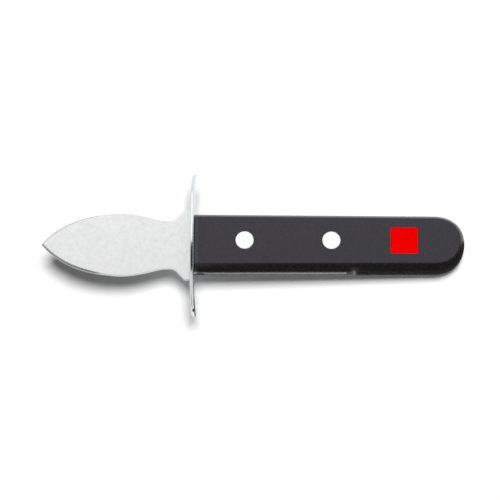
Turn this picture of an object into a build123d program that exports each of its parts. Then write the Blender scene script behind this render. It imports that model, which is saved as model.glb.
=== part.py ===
from build123d import *
import math
import os

# Oyster knife lying at rest: a stout pointed blade with its tang, an oval hand guard, a one-piece
# moulded handle slotted for the tang, two pairs of rivet halves and a tile let into the handle.
# Millimetres. The pieces are drawn along the knife's own axis: X runs from the blade side of the
# guard (zero) back to the butt, Y lies across the blade, Z stands out of its flat. At the end
# lay_down leans the finished knife onto its guard and butt and centres it over the origin.

# Blade and tang, one piece of plate
blade_reach = 60.3            # point to guard
blade_width = 26.0            # at its widest place
blade_thickness = 2.2
cutting_edge_length = 32.8    # along the axis, point back to the widest place
point_angle = 52.0            # degrees, each side of the axis
bevel_width = 0.72
edge_thickness = 0.7          # what the two bevels leave: blunt, for prying
waist_width = 19.8
waist_reach = 8.7             # guard to the narrowest place
shoulder_width = 29.4
shoulder_land = 2.1           # straight edge of the shoulder beside the guard
shoulder_radius = 0.7
shoulder_end_radius = 0.35    # corner that meets the guard
tang_length = 64.2            # behind the blade side of the guard
tang_corner_radius = 1.5
relief_length = 5.6           # shallow notches that let the guard seat square
relief_depth = 0.2
relief_radius = 0.08

# Points of the outline, each as a share of its run along the axis and a share of its height
point_shares = ((0.22, 0.495), (0.47, 0.803), (0.72, 0.955))
waist_shares = ((0.37, 0.73), (0.60, 0.43))
bevel_shares = (0.2, 0.4, 0.6, 0.8)
full_bevel_share = 0.55       # of the cutting edge, from the point; the bevel fades behind it
shoulder_rise_share = 0.732   # of the run from waist to land; the waist's straight has the rest
waist_round_share = 0.78      # of that straight, for the round that turns it outwards

# Guard
guard_width = 59.4
guard_height = 34.0
guard_thickness = 1.6
guard_flat_width = 30.0       # the middle stays flat under shoulders and handle
guard_sweep = 0.8             # how far the ends curve back towards the hand
guard_edge_radius = 0.55      # round of the rim
guard_slot_corner = 0.3

# Handle
handle_end = 110.7            # blade side of the guard to the butt
handle_front_width = 23.9
handle_rear_width = 22.9
handle_thickness = 15.0
handle_flat_width = 19.6      # flat top and bottom, at the front
side_wall_height = 4.0        # upright band around the tang
butt_round_length = 12.5
butt_fullness = 1.3           # tangent strength of the butt curve
handle_edge_radius = 0.35

# Rivets, two halves each: the pin of one is pressed into the barrel of the other
rivet_places = {"front": 21.9, "rear": 56.8}
rivet_head_diameter = 7.4
rivet_head_height = 2.4
rivet_head_chamfer = 0.1
rivet_barrel_diameter = 5.0
rivet_pin_diameter = 3.4
rivet_pin_chamfer = 0.5
barrel_end_gap = 0.4          # short of the other head's seat
pin_end_gap = 0.6

# Tile in the top of the handle
tile_place = 86.0
tile_size = 11.0
tile_thickness = 0.9
tile_corner_radius = 0.6

# Fits and cuts
slot_gap = 0.05               # tang to handle, each side
guard_gap = 0.1               # tang to guard, each side
barrel_gap = 0.1              # barrel to its bores, on the radius
head_gap = 0.03               # head to its counterbore, on the radius
pin_gap = 0.01                # pin to barrel, on the radius
tile_gap = 0.04
overrun = 2.0

# Worked out from the sizes above
widest_x = cutting_edge_length - blade_reach
half_thickness = handle_thickness / 2
side_inset = (handle_front_width - handle_flat_width) / 2
side_rise = half_thickness - side_wall_height / 2
side_radius = (side_rise**2 + side_inset**2) / (2 * side_inset)
head_seat = half_thickness - rivet_head_height
rim_turn = math.radians(90 / 4)   # the round of the rim is three flats; from each to the next
rim_start = guard_edge_radius * (1 - math.tan(rim_turn / 2))
from_base = (Align.CENTER, Align.CENTER, Align.MIN)
from_top = (Align.CENTER, Align.CENTER, Align.MAX)


def handle_side(x):
    """Half width of handle and tang at a distance behind the blade side of the guard."""
    run = handle_end - butt_round_length - guard_thickness
    narrowing = (handle_front_width - handle_rear_width) / 2
    return handle_front_width / 2 - narrowing * (x - guard_thickness) / run


def mirrored_face(half_outline):
    """Face between an open outline on one side of the X axis and its mirror image."""
    return make_face(half_outline.edges() + mirror(half_outline, Plane.XZ).edges())


def cutting_edge():
    """Edge of the blade from its point to the widest place."""
    half = blade_width / 2
    between = [(cutting_edge_length * along - blade_reach, half * up) for along, up in point_shares]
    slope = math.radians(point_angle)
    return Spline(
        [(-blade_reach, 0)] + between + [(widest_x, half)],
        tangents=[(math.cos(slope), math.sin(slope)), (1, 0)],
    )


def bevel_line():
    """Inner border of the bevel: the cutting edge moved in, meeting it at the widest place."""
    edge = cutting_edge()
    points = [(bevel_width / math.sin(math.radians(point_angle)) - blade_reach, 0)]
    for share in bevel_shares:
        fade = min(1, (1 - share) / (1 - full_bevel_share))
        inward = (edge % share).rotate(Axis.Z, -90)
        points.append(edge @ share + inward * bevel_width * fade)
    return Spline(points + [edge @ 1], tangents=[edge % 0, (1, 0)])


def blade_front():
    """Front of the blade, bevelled from both flats down to its blunt edge."""
    borders = {
        -blade_thickness / 2: bevel_line(),
        -edge_thickness / 2: cutting_edge(),
        edge_thickness / 2: cutting_edge(),
        blade_thickness / 2: bevel_line(),
    }
    layers = []
    for height, border in borders.items():
        other = mirror(border, Plane.XZ)
        closing = Line(border @ 1, other @ 1)
        layers.append(Pos(0, 0, height) * Wire(border.edges() + closing.edges() + other.edges()))
    return Solid.make_loft(layers, ruled=True)


def blade_rear():
    """Waist, shoulders and tang, with upright edges."""
    half, waist, shoulder = blade_width / 2, waist_width / 2, shoulder_width / 2
    run = -waist_reach - widest_x
    between = [(widest_x + run * along, waist + (half - waist) * up) for along, up in waist_shares]
    flank = Spline(
        [(widest_x, half)] + between + [(-waist_reach, waist)], tangents=[(1, 0), (1, 0)]
    )
    rise_run = (waist_reach - shoulder_land) * shoulder_rise_share
    waist_straight = waist_reach - shoulder_land - rise_run
    half_rise_angle = math.atan2(shoulder - waist, rise_run) / 2
    waist_radius = waist_straight * waist_round_share / math.tan(half_rise_angle)
    relief_foot = (0, handle_side(0) - relief_depth)
    shoulder_line = FilletPolyline(
        (-waist_reach, waist),
        (-shoulder_land - rise_run, waist),
        (-shoulder_land, shoulder),
        (0, shoulder),
        relief_foot,
        radius=(waist_radius, shoulder_radius, shoulder_end_radius),
    )
    tang_line = FilletPolyline(
        relief_foot,
        (relief_length, handle_side(relief_length) - relief_depth),
        (relief_length, handle_side(relief_length)),
        (tang_length, handle_side(tang_length)),
        (tang_length, 0),
        radius=(relief_radius, relief_radius, tang_corner_radius),
    )
    closing = Line((widest_x, 0), (widest_x, half))
    face = mirrored_face(Curve() + [closing, flank, shoulder_line, tang_line])
    return extrude(face, blade_thickness / 2, both=True)


def rivet_bore():
    return Cylinder(rivet_barrel_diameter / 2 + barrel_gap, handle_thickness + overrun)


def make_blade():
    blade = blade_front() + blade_rear()
    for place in rivet_places.values():
        blade -= Pos(place, 0, 0) * rivet_bore()
    return blade


def guard_profile():
    """Plate seen from above: flat in the middle, both ends curved back in gentle arcs."""
    wing_width = (guard_width - guard_flat_width) / 2
    radius = (wing_width**2 + guard_sweep**2) / (2 * guard_sweep)
    ring = Circle(radius) - Circle(radius - guard_thickness)
    reach = wing_width + overrun
    profile = Pos(guard_thickness / 2, 0) * Rectangle(guard_thickness, guard_flat_width)
    for side in (1, -1):
        wing_room = Pos(reach / 2, side * (guard_flat_width + reach) / 2) * Rectangle(reach, reach)
        profile += (Pos(radius, side * guard_flat_width / 2) * ring) & wing_room
    return profile


def rounded_rim(plate):
    """Rim rounded in flats: a cut at 45 degrees, then one along each border of that cut."""
    first_cut = guard_edge_radius * (1 - math.tan(rim_turn))
    for cut in (first_cut, rim_start - first_cut):
        plate = chamfer(plate.edges().filter_by(GeomType.LINE, reverse=True), cut)
    return plate


def make_guard():
    """Oval plate with a rounded rim, pierced for the tang."""
    plate = extrude(guard_profile(), guard_height / 2 + overrun, both=True)
    oval = Plane.YZ * Ellipse(guard_width / 2, guard_height / 2)
    plate &= extrude(oval, guard_width, both=True)
    slot = Plane.YZ * RectangleRounded(
        handle_front_width + 2 * guard_gap, blade_thickness + 2 * guard_gap, guard_slot_corner
    )
    return rounded_rim(plate) - extrude(slot, guard_width, both=True)


def handle_outline(front):
    """Plan of the handle at its widest level, from a given place back to the butt."""
    round_start = handle_end - butt_round_length
    side = Line((front, handle_side(front)), (round_start, handle_side(round_start)))
    butt = Spline(
        [side @ 1, (handle_end, 0)],
        tangents=[side % 1, (0, -1)],
        tangent_scalars=(butt_fullness, butt_fullness),
    )
    closing = Line((front, 0), side @ 0)
    return mirrored_face(Curve() + [closing, side, butt])


def handle_body():
    """Slab with large rounds above and below its upright band, sliced to the two flats."""
    slab = extrude(
        handle_outline(guard_thickness - overrun), side_wall_height / 2 + side_radius, both=True
    )
    rims = slab.faces().filter_by(Plane.XY).edges().filter_by(Axis.Y, reverse=True)
    room = Pos(guard_thickness, 0, 0) * Box(
        handle_end,
        handle_front_width + overrun,
        handle_thickness,
        align=(Align.MIN, Align.CENTER, Align.CENTER),
    )
    body = fillet(rims, side_radius) & room
    flat_edges = body.faces().filter_by(Plane.XY).edges()
    front_edges = body.faces().sort_by(Axis.X)[0].edges()
    return fillet(flat_edges + (front_edges - flat_edges), handle_edge_radius)


def tang_slot():
    """Room for the tang, open at the front and on both sides, its end rounded like the tang's."""
    front = guard_thickness - overrun
    end = tang_length + slot_gap
    side_line = FilletPolyline(
        (front, handle_side(front) + slot_gap),
        (end, handle_side(end) + slot_gap),
        (end, 0),
        radius=tang_corner_radius + slot_gap,
    )
    closing = Line((front, 0), side_line @ 0)
    face = mirrored_face(Curve() + [closing, side_line])
    return extrude(face, blade_thickness / 2 + slot_gap, both=True)


def tile_block(margin):
    """The tile, with a margin all round for the pocket that takes it."""
    side = tile_size + 2 * margin
    square = Pos(tile_place, 0, half_thickness) * RectangleRounded(
        side, side, tile_corner_radius + margin
    )
    return extrude(square, -tile_thickness)


def make_handle():
    handle = handle_body() - tang_slot() - tile_block(tile_gap)
    head_room = Cylinder(rivet_head_diameter / 2 + head_gap, 2 * rivet_head_height)
    for place in rivet_places.values():
        handle -= Pos(place, 0, 0) * rivet_bore()
        for side in (1, -1):
            handle -= Pos(place, 0, side * half_thickness) * head_room
    return handle


def rivet_head():
    """Head seated in its counterbore, its face level with the top of the handle."""
    head = Cylinder(rivet_head_diameter / 2, rivet_head_height, align=from_base)
    return Pos(0, 0, head_seat) * chamfer(head.edges().sort_by(Axis.Z)[-1], rivet_head_chamfer)


def make_female_half():
    """Head on the underside, with an open barrel that reaches up through the tang."""
    barrel = Cylinder(rivet_barrel_diameter / 2, 2 * head_seat - barrel_end_gap, align=from_base)
    barrel -= Cylinder(rivet_pin_diameter / 2 + pin_gap, 2 * head_seat, align=from_base)
    return mirror(rivet_head(), Plane.XY) + Pos(0, 0, -head_seat) * barrel


def make_male_half():
    """Head on top, with a pin that goes down into the barrel."""
    pin = Cylinder(rivet_pin_diameter / 2, 2 * head_seat - pin_end_gap, align=from_top)
    pin = chamfer(pin.edges().sort_by(Axis.Z)[0], rivet_pin_chamfer)
    return rivet_head() + Pos(0, 0, head_seat) * pin


def lay_down(pieces):
    """Lean the knife onto guard and butt, then centre its box over the origin at height zero."""
    guard_foot = guard_thickness - rim_start
    butt_foot = handle_end - side_inset - handle_edge_radius
    drop = (guard_height - handle_thickness) / 2
    lean = Rot(0, math.degrees(math.atan2(drop, butt_foot - guard_foot)), 0)
    leaning = {name: lean * piece for name, piece in pieces.items()}
    box = Compound(list(leaning.values())).bounding_box()
    shift = Pos(-box.center().X, -box.center().Y, -box.min.Z)
    return {name: shift * piece for name, piece in leaning.items()}


def make_knife():
    pieces = {
        "blade": make_blade(),
        "guard": make_guard(),
        "handle": make_handle(),
        "handle_tile": tile_block(0),
    }
    for end, place in rivet_places.items():
        pieces[f"{end}_rivet_male"] = Pos(place, 0, 0) * make_male_half()
        pieces[f"{end}_rivet_female"] = Pos(place, 0, 0) * make_female_half()
    return lay_down(pieces)


os.makedirs("parts", exist_ok=True)
for name, piece in make_knife().items():
    export_step(piece, f"parts/{name}.step")
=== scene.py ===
import math

import bpy
from mathutils import Matrix, Vector

# Oyster knife on a white table. The knife leans on its guard and butt, so places that follow
# the knife are given along its own axes (X to the butt, Y across, Z out of the flat) in mm.

print("loading the knife")
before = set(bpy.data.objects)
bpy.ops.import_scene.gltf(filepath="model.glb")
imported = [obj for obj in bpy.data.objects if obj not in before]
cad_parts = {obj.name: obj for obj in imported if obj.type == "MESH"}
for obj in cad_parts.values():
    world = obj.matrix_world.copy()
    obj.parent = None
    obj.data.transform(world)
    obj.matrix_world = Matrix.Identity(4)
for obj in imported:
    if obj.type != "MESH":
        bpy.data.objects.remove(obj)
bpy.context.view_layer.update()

knife = {
    "leanDegrees": 5.072,
    "originX": -25.190,       # where the front of the guard lands in the frame, mm
    "originZ": 17.055,
}


def knifeTurn():
    return Matrix.Rotation(math.radians(knife["leanDegrees"]), 4, "Y")


def fromKnife(x, y, z):
    place = knifeTurn() @ Vector((x, y, z))
    return Vector((place.x + knife["originX"], place.y, place.z + knife["originZ"])) / 1000


def knifeDirection(acrossDegrees):
    # straight out of the flat is zero, and positive turns to the far edge
    across = math.radians(acrossDegrees)
    return knifeTurn().to_3x3() @ Vector((0, math.sin(across), math.cos(across)))


def linearFromHex(code):
    channels = [int(code.lstrip("#")[i:i + 2], 16) / 255 for i in (0, 2, 4)]
    linear = [c / 12.92 if c <= 0.04045 else ((c + 0.055) / 1.055) ** 2.4 for c in channels]
    return (*linear, 1.0)


def perMillimetre(size):
    # texture scale for a pattern whose repeat is this many millimetres, coordinates in metres
    return 1000.0 / size


def addNode(owner, kind, settings=None, inputs=None, links=None):
    # owner is a material or the world; sockets that share a name are given by their number
    node = owner.node_tree.nodes.new(kind)
    for name, value in (settings or {}).items():
        setattr(node, name, value)
    for name, value in (inputs or {}).items():
        node.inputs[name].default_value = value
    for name, source in (links or {}).items():
        owner.node_tree.links.new(source, node.inputs[name])
    return node


# Most values of a noise texture lie between these.
noiseSpan = {"From Min": 0.3, "From Max": 0.7}


def roughnessSpan(look):
    # from the smoothest to the dullest places of a surface
    return {**noiseSpan, "To Min": look["roughness"] - look["roughnessSpread"],
            "To Max": look["roughness"] + look["roughnessSpread"]}


def newMaterial(name):
    material = bpy.data.materials.new(name)
    material.use_nodes = True
    material.node_tree.nodes.clear()
    return material


def finishMaterial(material, surface):
    addNode(material, "ShaderNodeOutputMaterial", links={"Surface": surface})
    return material


def alongKnife(material, repeats=(1000, 1000, 1000)):
    # place on the knife, turned to its own axes; repeats are in millimetres along X, Y and Z
    place = addNode(material, "ShaderNodeTexCoord")
    turned = addNode(material, "ShaderNodeMapping", {"vector_type": "TEXTURE"},
                     {"Location": (knife["originX"] / 1000, 0, knife["originZ"] / 1000),
                      "Rotation": (0, math.radians(knife["leanDegrees"]), 0)},
                     {"Vector": place.outputs["Object"]})
    scaled = addNode(material, "ShaderNodeMapping", {"vector_type": "POINT"},
                     {"Scale": [perMillimetre(size) for size in repeats]},
                     {"Vector": turned.outputs["Vector"]})
    return scaled.outputs["Vector"]


# Blade and tang: stainless steel, ground across the width with a fine belt. The grinding lines
# spread the light along the knife, which gives the even, milky grey.
bladeSteel = {
    "bright": "#F9F9F9",
    "dull": "#E6E7E7",
    "edge": "#BFC3C5",        # bevels and edges, ground again on a finer belt
    "roughness": 0.38,
    "roughnessSpread": 0.02,
    "edgeRoughness": 0.24,
    "lineWidth": 0.35,        # real lines are under 0.1 mm; drawn coarser so that they show
    "lineLength": 2.6,
    "lineDepth": 0.002,
    "mottleSize": 1.6,
    "mottleShare": 0.55,      # the rest of the unevenness is the lines
    "cloudSize": 6.0,
    "flatLimit": 0.98,        # cosine of the turn from which a facet counts as a bevel or edge
    "edgeRound": 0.12,        # worn rounding of the edges, mm
}


def satinGroundSteel():
    look = bladeSteel
    material = newMaterial("satinGroundSteel")
    lines = addNode(material, "ShaderNodeTexNoise", None,
                    {"Scale": 1.0, "Detail": 4.0, "Roughness": 0.62},
                    {"Vector": alongKnife(material, (look["lineWidth"], look["lineLength"],
                                                     look["lineWidth"]))})
    clouds = addNode(material, "ShaderNodeTexNoise", None, {"Scale": 1.0, "Detail": 2.0},
                     {"Vector": alongKnife(material, (look["cloudSize"],) * 3)})
    mottle = addNode(material, "ShaderNodeTexNoise", None,
                     {"Scale": 1.0, "Detail": 3.0, "Roughness": 0.6},
                     {"Vector": alongKnife(material, (look["mottleSize"],) * 3)})
    uneven = addNode(material, "ShaderNodeMix", {"data_type": "FLOAT"},
                     {"Factor": look["mottleShare"]},
                     {"A": lines.outputs["Fac"], "B": mottle.outputs["Fac"]})
    colour = addNode(material, "ShaderNodeMapRange", None, noiseSpan,
                     {"Value": uneven.outputs["Result"]})
    shade = addNode(material, "ShaderNodeMix", {"data_type": "RGBA"},
                    {"A": linearFromHex(look["dull"]), "B": linearFromHex(look["bright"])},
                    {"Factor": colour.outputs["Result"]})
    satin = addNode(material, "ShaderNodeMapRange", None, roughnessSpan(look),
                    {"Value": clouds.outputs["Fac"]})
    facing = addNode(material, "ShaderNodeNewGeometry")
    outOfFlat = addNode(material, "ShaderNodeVectorMath", {"operation": "DOT_PRODUCT"},
                        {1: knifeDirection(0.0)}, {0: facing.outputs["True Normal"]})
    eitherFlat = addNode(material, "ShaderNodeMath", {"operation": "ABSOLUTE"}, None,
                         {0: outOfFlat.outputs["Value"]})
    onFlat = addNode(material, "ShaderNodeMath", {"operation": "GREATER_THAN"},
                     {1: look["flatLimit"]}, {0: eitherFlat.outputs["Value"]})
    # the edge of the tang, behind the guard's front, keeps the tone of the flats
    place = addNode(material, "ShaderNodeSeparateXYZ", links={"Vector": alongKnife(material)})
    onTang = addNode(material, "ShaderNodeMath", {"operation": "GREATER_THAN"}, {1: 0.0},
                     {0: place.outputs["X"]})
    pale = addNode(material, "ShaderNodeMath", {"operation": "MAXIMUM"}, None,
                   {0: onFlat.outputs["Value"], 1: onTang.outputs["Value"]})
    tone = addNode(material, "ShaderNodeMix", {"data_type": "RGBA"},
                   {"A": linearFromHex(look["edge"])},
                   {"Factor": pale.outputs["Value"], "B": shade.outputs["Result"]})
    roughness = addNode(material, "ShaderNodeMix", {"data_type": "FLOAT"},
                        {"A": look["edgeRoughness"]},
                        {"Factor": onFlat.outputs["Value"], "B": satin.outputs["Result"]})
    rounded = addNode(material, "ShaderNodeBevel", {"samples": 8},
                      {"Radius": look["edgeRound"] / 1000})
    ground = addNode(material, "ShaderNodeBump", None,
                     {"Strength": 0.5, "Distance": look["lineDepth"] / 1000},
                     {"Height": lines.outputs["Fac"], "Normal": rounded.outputs["Normal"]})
    shader = addNode(material, "ShaderNodeBsdfPrincipled", None, {"Metallic": 1.0}, {
        "Base Color": tone.outputs["Result"],
        "Roughness": roughness.outputs["Result"],
        "Normal": ground.outputs["Normal"],
    })
    return finishMaterial(material, shader.outputs["BSDF"])


# Guard: stainless steel plate, stamped and buffed to a polish, so it mirrors the studio with
# faint hairlines along its rim.
guardSteel = {
    "bright": "#E4E8EA",
    "dull": "#D9DDDF",
    "roughness": 0.13,
    "roughnessSpread": 0.03,
    "hairlineWidth": 0.25,
    "hairlineLength": 6.0,
    "hairlineDepth": 0.0015,
    "smearSize": 5.0,
    "edgeRound": 0.12,        # takes the steps off the chamfered rim, mm
}


def polishedSteel():
    look = guardSteel
    material = newMaterial("polishedSteel")
    hairlines = addNode(material, "ShaderNodeTexNoise", None,
                        {"Scale": 1.0, "Detail": 3.0, "Roughness": 0.6},
                        {"Vector": alongKnife(material, (look["hairlineWidth"],
                                                         look["hairlineLength"],
                                                         look["hairlineLength"]))})
    smears = addNode(material, "ShaderNodeTexNoise", None, {"Scale": 1.0, "Detail": 3.0},
                     {"Vector": alongKnife(material, (look["smearSize"],) * 3)})
    shade = addNode(material, "ShaderNodeMix", {"data_type": "RGBA"},
                    {"A": linearFromHex(look["dull"]), "B": linearFromHex(look["bright"])},
                    {"Factor": smears.outputs["Fac"]})
    roughness = addNode(material, "ShaderNodeMapRange", None, roughnessSpan(look),
                        {"Value": smears.outputs["Fac"]})
    rounded = addNode(material, "ShaderNodeBevel", {"samples": 8},
                      {"Radius": look["edgeRound"] / 1000})
    buffed = addNode(material, "ShaderNodeBump", None,
                     {"Strength": 0.4, "Distance": look["hairlineDepth"] / 1000},
                     {"Height": hairlines.outputs["Fac"], "Normal": rounded.outputs["Normal"]})
    shader = addNode(material, "ShaderNodeBsdfPrincipled", None, {"Metallic": 1.0}, {
        "Base Color": shade.outputs["Result"],
        "Roughness": roughness.outputs["Result"],
        "Normal": buffed.outputs["Normal"],
    })
    return finishMaterial(material, shader.outputs["BSDF"])


# Rivets: stainless steel, sanded level with the handle and polished, so they mirror the bright
# panel and look white.
rivetSteel = {
    "bright": "#F2F3F3",
    "dull": "#EBECEC",
    "roughness": 0.22,
    "roughnessSpread": 0.04,
    "scratchWidth": 0.18,
    "scratchLength": 5.0,
    "scratchDepth": 0.0015,
}


def levelledRivetSteel():
    look = rivetSteel
    material = newMaterial("levelledRivetSteel")
    scratches = addNode(material, "ShaderNodeTexNoise", None,
                        {"Scale": 1.0, "Detail": 3.0, "Roughness": 0.6},
                        {"Vector": alongKnife(material, (look["scratchLength"],
                                                         look["scratchWidth"],
                                                         look["scratchWidth"]))})
    shade = addNode(material, "ShaderNodeMix", {"data_type": "RGBA"},
                    {"A": linearFromHex(look["dull"]), "B": linearFromHex(look["bright"])},
                    {"Factor": scratches.outputs["Fac"]})
    roughness = addNode(material, "ShaderNodeMapRange", None, roughnessSpan(look),
                        {"Value": scratches.outputs["Fac"]})
    sanded = addNode(material, "ShaderNodeBump", None,
                     {"Strength": 0.4, "Distance": look["scratchDepth"] / 1000},
                     {"Height": scratches.outputs["Fac"]})
    shader = addNode(material, "ShaderNodeBsdfPrincipled", None, {"Metallic": 1.0}, {
        "Base Color": shade.outputs["Result"],
        "Roughness": roughness.outputs["Result"],
        "Normal": sanded.outputs["Normal"],
    })
    return finishMaterial(material, shader.outputs["BSDF"])


# Handle: black acetal, moulded in a spark-eroded tool. The fine grain spreads the light of the
# panel over the flats, so they look dark grey, and the sides stay nearly black.
handlePlastic = {
    "deep": "#0F0C0C",
    "pale": "#242120",
    "guardReflectionTint": "#303034",        # painted reflection of the polished guard, a paler blue-grey band on the handle just behind it
    "bloom": "#ECEBFF",       # faint blue of the reflection on the flats
    "specular": 0.6,          # the moulded skin mirrors a little more than the usual 0.5
    "guardReflectionStart": 2.2,         # from the front of the guard, mm
    "guardReflectionLength": 1.2,
    "roughness": 0.27,
    "roughnessSpread": 0.02,
    "grain": 0.45,            # spark marks are near 0.1 mm; drawn coarser so that they show
    "grainDepth": 0.0008,
    "mottleSize": 1.1,
    "edgeRound": 0.15,
}


def mouldedAcetal():
    look = handlePlastic
    material = newMaterial("mouldedAcetal")
    grain = addNode(material, "ShaderNodeTexNoise", None,
                    {"Scale": 1.0, "Detail": 3.0, "Roughness": 0.6},
                    {"Vector": alongKnife(material, (look["grain"],) * 3)})
    mottle = addNode(material, "ShaderNodeTexNoise", None,
                     {"Scale": 1.0, "Detail": 3.0, "Roughness": 0.6},
                     {"Vector": alongKnife(material, (look["mottleSize"],) * 3)})
    spread = addNode(material, "ShaderNodeMapRange", None, noiseSpan,
                     {"Value": mottle.outputs["Fac"]})
    shade = addNode(material, "ShaderNodeMix", {"data_type": "RGBA"},
                    {"A": linearFromHex(look["deep"]), "B": linearFromHex(look["pale"])},
                    {"Factor": spread.outputs["Result"]})
    place = addNode(material, "ShaderNodeSeparateXYZ", links={"Vector": alongKnife(material)})
    # painted reflection: the guard's bright steel shown as a paler blue-grey band on the front of
    # the handle, fading out behind it
    guardReflectionBand = addNode(material, "ShaderNodeMapRange", {"interpolation_type": "SMOOTHSTEP"},
                   {"From Min": look["guardReflectionStart"] / 1000,
                    "From Max": (look["guardReflectionStart"] + look["guardReflectionLength"]) / 1000,
                    "To Min": 1.0, "To Max": 0.0}, {"Value": place.outputs["X"]})
    colour = addNode(material, "ShaderNodeMix", {"data_type": "RGBA"},
                     {"B": linearFromHex(look["guardReflectionTint"])},
                     {"Factor": guardReflectionBand.outputs["Result"], "A": shade.outputs["Result"]})
    roughness = addNode(material, "ShaderNodeMapRange", None, roughnessSpan(look),
                        {"Value": mottle.outputs["Fac"]})
    rounded = addNode(material, "ShaderNodeBevel", {"samples": 6},
                      {"Radius": look["edgeRound"] / 1000})
    moulded = addNode(material, "ShaderNodeBump", None,
                      {"Strength": 0.5, "Distance": look["grainDepth"] / 1000},
                      {"Height": grain.outputs["Fac"], "Normal": rounded.outputs["Normal"]})
    shader = addNode(material, "ShaderNodeBsdfPrincipled", None,
                     {"Specular IOR Level": look["specular"],
                      "Specular Tint": linearFromHex(look["bloom"])}, {
        "Base Color": colour.outputs["Result"],
        "Roughness": roughness.outputs["Result"],
        "Normal": moulded.outputs["Normal"],
    })
    return finishMaterial(material, shader.outputs["BSDF"])


# Tile: coloured acrylic let into the handle and levelled with it. The sanding leaves it matt, so
# the red is even and strong.
tilePlastic = {
    "deep": "#EA0000",
    "pale": "#F80000",
    "specular": 0.02,         # sanded, so it mirrors next to nothing
    "roughness": 0.45,
    "roughnessSpread": 0.06,
    "cloudSize": 1.2,
    "scratchWidth": 0.3,
    "scratchLength": 5.0,
    "scratchDepth": 0.002,
}


def levelledAcrylic():
    look = tilePlastic
    material = newMaterial("levelledAcrylic")
    clouds = addNode(material, "ShaderNodeTexNoise", None, {"Scale": 1.0, "Detail": 3.0},
                     {"Vector": alongKnife(material, (look["cloudSize"],) * 3)})
    scratches = addNode(material, "ShaderNodeTexNoise", None, {"Scale": 1.0, "Detail": 2.0},
                        {"Vector": alongKnife(material, (look["scratchLength"],
                                                         look["scratchWidth"],
                                                         look["scratchWidth"]))})
    spread = addNode(material, "ShaderNodeMapRange", None, noiseSpan,
                     {"Value": clouds.outputs["Fac"]})
    shade = addNode(material, "ShaderNodeMix", {"data_type": "RGBA"},
                    {"A": linearFromHex(look["deep"]), "B": linearFromHex(look["pale"])},
                    {"Factor": spread.outputs["Result"]})
    roughness = addNode(material, "ShaderNodeMapRange", None, roughnessSpan(look),
                        {"Value": scratches.outputs["Fac"]})
    sanded = addNode(material, "ShaderNodeBump", None,
                     {"Strength": 0.3, "Distance": look["scratchDepth"] / 1000},
                     {"Height": scratches.outputs["Fac"]})
    shader = addNode(material, "ShaderNodeBsdfPrincipled", None,
                     {"Specular IOR Level": look["specular"]}, {
        "Base Color": shade.outputs["Result"],
        "Roughness": roughness.outputs["Result"],
        "Normal": sanded.outputs["Normal"],
    })
    return finishMaterial(material, shader.outputs["BSDF"])


def dress(node, material):
    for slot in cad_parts[node].material_slots:
        slot.link = "DATA"
        slot.material = material


print("materials")
dress("blade", satinGroundSteel())
dress("guard", polishedSteel())
dress("handle", mouldedAcetal())
dress("handle_tile", levelledAcrylic())
rivetMaterial = levelledRivetSteel()
for rivet in ("front_rivet_male", "front_rivet_female", "rear_rivet_male", "rear_rivet_female"):
    dress(rivet, rivetMaterial)

# the bright underside of the blade would fill its own shadow with light from the table
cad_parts["blade"].visible_diffuse = False


# Table: a wide sheet of milky acrylic with a sanded top. A little light comes up through it, so
# the shadow is an even grey and never black.
table = {
    "size": 12.0,             # m, so that no edge comes into view
    "colour": "#FAFAFA",
    "glow": 0.110,            # light from below, where 1 is white
    "tooth": 0.6,             # grain of the sanding, mm
    "toothDepth": 0.01,
}


def flatSheet(name, corners, material):
    mesh = bpy.data.meshes.new(name)
    mesh.from_pydata(corners, [], [range(len(corners))])
    mesh.materials.append(material)
    sheet = bpy.data.objects.new(name, mesh)
    bpy.context.scene.collection.objects.link(sheet)
    return sheet


def whiteTable():
    look = table
    material = newMaterial("sandedMilkyAcrylic")
    place = addNode(material, "ShaderNodeTexCoord")
    tooth = addNode(material, "ShaderNodeTexNoise", None,
                    {"Scale": perMillimetre(look["tooth"]), "Detail": 2.0},
                    {"Vector": place.outputs["Object"]})
    bump = addNode(material, "ShaderNodeBump", None,
                   {"Strength": 0.02, "Distance": look["toothDepth"] / 1000},
                   {"Height": tooth.outputs["Fac"]})
    sheet = addNode(material, "ShaderNodeBsdfDiffuse", None,
                    {"Color": linearFromHex(look["colour"])}, {"Normal": bump.outputs["Normal"]})
    glow = addNode(material, "ShaderNodeEmission", None,
                   {"Color": (1, 1, 1, 1), "Strength": look["glow"]})
    both = addNode(material, "ShaderNodeAddShader", None, None,
                   {0: sheet.outputs["BSDF"], 1: glow.outputs["Emission"]})
    finishMaterial(material, both.outputs["Shader"])
    half = look["size"] / 2
    flatSheet("whiteTable", [(-half, -half, 0), (half, -half, 0), (half, half, 0),
                             (-half, half, 0)], material)


print("table")
whiteTable()


# Lamps: a wide key that draws the shadow, and a large panel behind the knife that the flats
# mirror.
lamps = {
    "keyStrength": 3.06,
    "keyAngle": 20.0,         # how wide the key looks, degrees
    "keyAcross": 2.0,         # towards the back
    "keyAlong": 7.5,          # towards the butt
    "panelLow": 9.0,          # across the knife, degrees from straight out of its flat
    "panelHigh": 66.0,
    "panelWide": 1.3,
    "panelDistance": 1.25,
    "panelStrength": 0.45,    # what it adds to the wall behind it, where 1 is white
    "panelTarget": 30.0,      # it faces this place, mm behind the front of the guard
}


def keyLight():
    look = lamps
    sun = bpy.data.lights.new("keyLight", "SUN")
    sun.energy = look["keyStrength"]
    sun.angle = math.radians(look["keyAngle"])
    key = bpy.data.objects.new("keyLight", sun)
    bpy.context.scene.collection.objects.link(key)
    across, along = math.radians(look["keyAcross"]), math.radians(look["keyAlong"])
    key.rotation_euler = Vector((math.sin(along), math.sin(across), 1)).to_track_quat(
        "Z", "Y").to_euler()
    key.visible_glossy = False
    key.visible_camera = False


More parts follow.
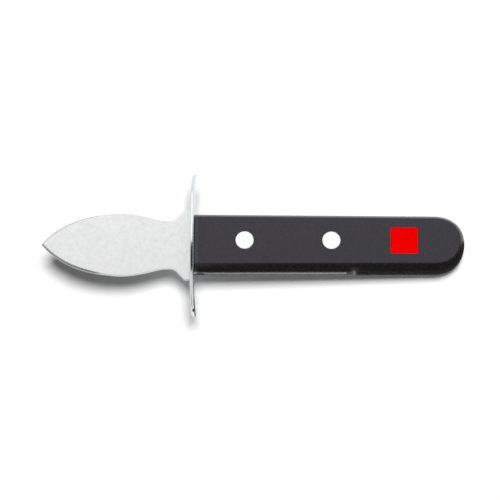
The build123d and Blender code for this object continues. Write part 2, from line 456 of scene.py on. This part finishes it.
def backPanel():
    look = lamps
    middle = (look["panelLow"] + look["panelHigh"]) / 2
    spread = math.radians(look["panelHigh"] - look["panelLow"]) / 2
    direction = knifeDirection(middle)
    lamp = bpy.data.lights.new("backPanel", "AREA")
    lamp.shape = "RECTANGLE"
    wide, tall = look["panelWide"], 2 * look["panelDistance"] * math.tan(spread)
    lamp.size, lamp.size_y = wide, tall
    lamp.energy = look["panelStrength"] * math.pi * wide * tall    # watts for that brightness
    panel = bpy.data.objects.new("backPanel", lamp)
    bpy.context.scene.collection.objects.link(panel)
    panel.location = fromKnife(look["panelTarget"], 0, 0) + direction * look["panelDistance"]
    panel.rotation_euler = direction.to_track_quat("Z", "Y").to_euler()
    panel.visible_diffuse = False
    panel.visible_camera = False


print("lamps")
keyLight()
backPanel()


# Cards that only mirrors see: one overhead round the camera, one beyond the butt, one level with
# the underside of the handle, one on the table, and two that stand in front of the knife with a
# gap between them before the guard. Places are in mm; along the knife they start at the front
# of the guard.
cards = {
    "cameraGrey": 0.03,
    "cameraDistance": 1100.0,
    "cameraHalfWidth": 0.36,  # as a share of the distance
    "cameraLow": -21.0,       # across the knife, degrees from straight out of its flat
    "cameraHigh": 8.5,
    "buttGrey": 0.03,         # mirrored by the back of the guard's rim
    "buttPlace": 500.0,       # from the middle of the table
    "buttAcross": (-240.0, 320.0),
    "buttHeight": (100.0, 1150.0),
    "frontPlace": -120.0,     # where two cards stand and the lying ones end
    "frontReach": 400.0,      # to each side of the middle of the table
    "bladeGrey": 0.32,        # mirrored by the near bevel
    "bladeEnd": -8.0,         # the gap before the guard goes from here to handleStart
    "bladeTop": 75.0,
    "handleGrey": 0.07,       # mirrored by the near side of the handle
    "handleStart": 3.0,
    "handleTop": 48.0,
    "lineGrey": 0.50,         # close to the handle; mirrored by the edge of the tang
    "lineFall": (-13.0, -14.9),    # where its grey falls to that of the handle, across
    "sideLevel": -7.4,        # from the middle of the blade's thickness
    "sideEdge": -12.2,
    "sideAlong": (2.2, 66.0),
    "floorLevel": 0.3,        # over the table
}


def darkCard(name, corners, grey, lineGrey=None):
    # corners in m; with a lineGrey, the card is that grey close beside the handle
    material = newMaterial(name)
    shader = addNode(material, "ShaderNodeEmission", None,
                     {"Color": (1, 1, 1, 1), "Strength": grey})
    if lineGrey:
        start, end = cards["lineFall"]
        place = addNode(material, "ShaderNodeTexCoord")
        parts = addNode(material, "ShaderNodeSeparateXYZ",
                        links={"Vector": place.outputs["Object"]})
        fall = addNode(material, "ShaderNodeMapRange", None,
                       {"From Min": start / 1000, "From Max": end / 1000,
                        "To Min": lineGrey, "To Max": grey}, {"Value": parts.outputs["Y"]})
        material.node_tree.links.new(fall.outputs["Result"], shader.inputs["Strength"])
    card = flatSheet(name, corners, finishMaterial(material, shader.outputs["Emission"]))
    card.visible_camera = card.visible_diffuse = card.visible_shadow = False


def placeCards():
    look = cards
    centre, turn = fromKnife(0, 0, 0), knifeTurn().to_3x3()
    half, distance = look["cameraHalfWidth"], look["cameraDistance"] / 1000
    low = math.tan(math.radians(look["cameraLow"]))
    high = math.tan(math.radians(look["cameraHigh"]))
    darkCard("cameraCard", [centre + turn @ Vector((x, y, 1.0)) * distance for x, y in (
        (-half, low), (half, low), (half, high), (-half, high))], look["cameraGrey"])

    place, (left, right), (low, high) = look["buttPlace"], look["buttAcross"], look["buttHeight"]
    darkCard("buttCard", [(place / 1000, y / 1000, z / 1000) for y, z in (
        (left, low), (right, low), (right, high), (left, high))], look["buttGrey"])

    front, edge, (start, end) = look["frontPlace"], look["sideEdge"], look["sideAlong"]
    darkCard("handleSideCard", [fromKnife(x, y, look["sideLevel"]) for x, y in (
        (start, edge), (start, front), (end, front), (end, edge))],
        look["handleGrey"], look["lineGrey"])

    outline = [(-12, -62), (-12, front), (400, front), (400, 5), (111.2, 5), (111.0, -1.6),
               (109.8, -5.1), (107.5, -8.1), (104.5, -10.3), (101, -11.5), (97, -11.9),
               (66, -12.1), (66, -62)]    # follows the near side of the butt
    darkCard("floorCard", [((knife["originX"] + x) / 1000, y / 1000, look["floorLevel"] / 1000)
                           for x, y in outline], look["handleGrey"])

    reach = look["frontReach"]
    for name, left, right, top, grey in (
            ("bladeFrontCard", -reach, knife["originX"] + look["bladeEnd"], look["bladeTop"],
             look["bladeGrey"]),
            ("handleFrontCard", knife["originX"] + look["handleStart"], reach, look["handleTop"],
             look["handleGrey"])):
        darkCard(name, [(x / 1000, front / 1000, z / 1000) for x, z in (
            (left, 0), (right, 0), (right, top), (left, top))], grey)


print("cards")
placeCards()


# Walls: white low down, behind the table, and grey higher up. Mirrors and the camera see them,
# but they light nothing.
walls = {
    "grey": 0.80,
    "fallStart": 0.15,        # height of the line of sight, where 1 is straight up
    "fallEnd": 0.5,
}


def paleStudio():
    look = walls
    world = bpy.data.worlds.new("paleStudio")
    world.use_nodes = True
    world.node_tree.nodes.clear()
    rays = addNode(world, "ShaderNodeLightPath")
    mirrored = addNode(world, "ShaderNodeMath", {"operation": "MAXIMUM"}, None,
                       {0: rays.outputs["Is Glossy Ray"], 1: rays.outputs["Is Transmission Ray"]})
    seen = addNode(world, "ShaderNodeMath", {"operation": "MAXIMUM"}, None,
                   {0: mirrored.outputs["Value"], 1: rays.outputs["Is Camera Ray"]})
    aim = addNode(world, "ShaderNodeTexCoord")
    parts = addNode(world, "ShaderNodeSeparateXYZ", links={"Vector": aim.outputs["Generated"]})
    grey = addNode(world, "ShaderNodeMapRange", {"interpolation_type": "SMOOTHSTEP"},
                   {"From Min": look["fallStart"], "From Max": look["fallEnd"],
                    "To Min": 1.0, "To Max": look["grey"]}, {"Value": parts.outputs["Z"]})
    level = addNode(world, "ShaderNodeMath", {"operation": "MULTIPLY"}, None,
                    {0: seen.outputs["Value"], 1: grey.outputs["Result"]})
    glow = addNode(world, "ShaderNodeBackground", None, {"Color": (1, 1, 1, 1)},
                   {"Strength": level.outputs["Value"]})
    addNode(world, "ShaderNodeOutputWorld", links={"Surface": glow.outputs["Background"]})
    bpy.context.scene.world = world


print("walls")
paleStudio()


# Camera: a metre from the knife, turned down at it from the side of the near edge.
view = {
    "elevation": 73.21,       # over the flat of the knife
    "distance": 1.0,
    "lens": 177.8,
    "sensor": 36,
    "clip": (0.05, 50),
    "target": (24.088, -1.79, -0.54),    # along the knife's own axes, mm
    "roll": 0.17,
}


def placeCamera():
    look = view
    rise = math.radians(look["elevation"])
    turn = knifeTurn().to_3x3()
    back = turn @ Vector((0, -math.cos(rise), math.sin(rise)))
    up = turn @ Vector((0, math.sin(rise), math.cos(rise)))
    right = up.cross(back)
    spin = math.radians(look["roll"])
    rolledUp = up * math.cos(spin) - right * math.sin(spin)
    rolledRight = rolledUp.cross(back)
    lens = bpy.data.cameras.new("camera")
    lens.lens = look["lens"]
    lens.sensor_width = look["sensor"]
    lens.clip_start, lens.clip_end = look["clip"]
    camera = bpy.data.objects.new("camera", lens)
    bpy.context.scene.collection.objects.link(camera)
    place = fromKnife(*look["target"]) + back * look["distance"]
    camera.matrix_world = Matrix.Translation(place) @ Matrix(
        (rolledRight, rolledUp, back)).transposed().to_4x4()
    bpy.context.scene.camera = camera


print("camera")
placeCamera()

bpy.context.scene.view_settings.view_transform = "Standard"
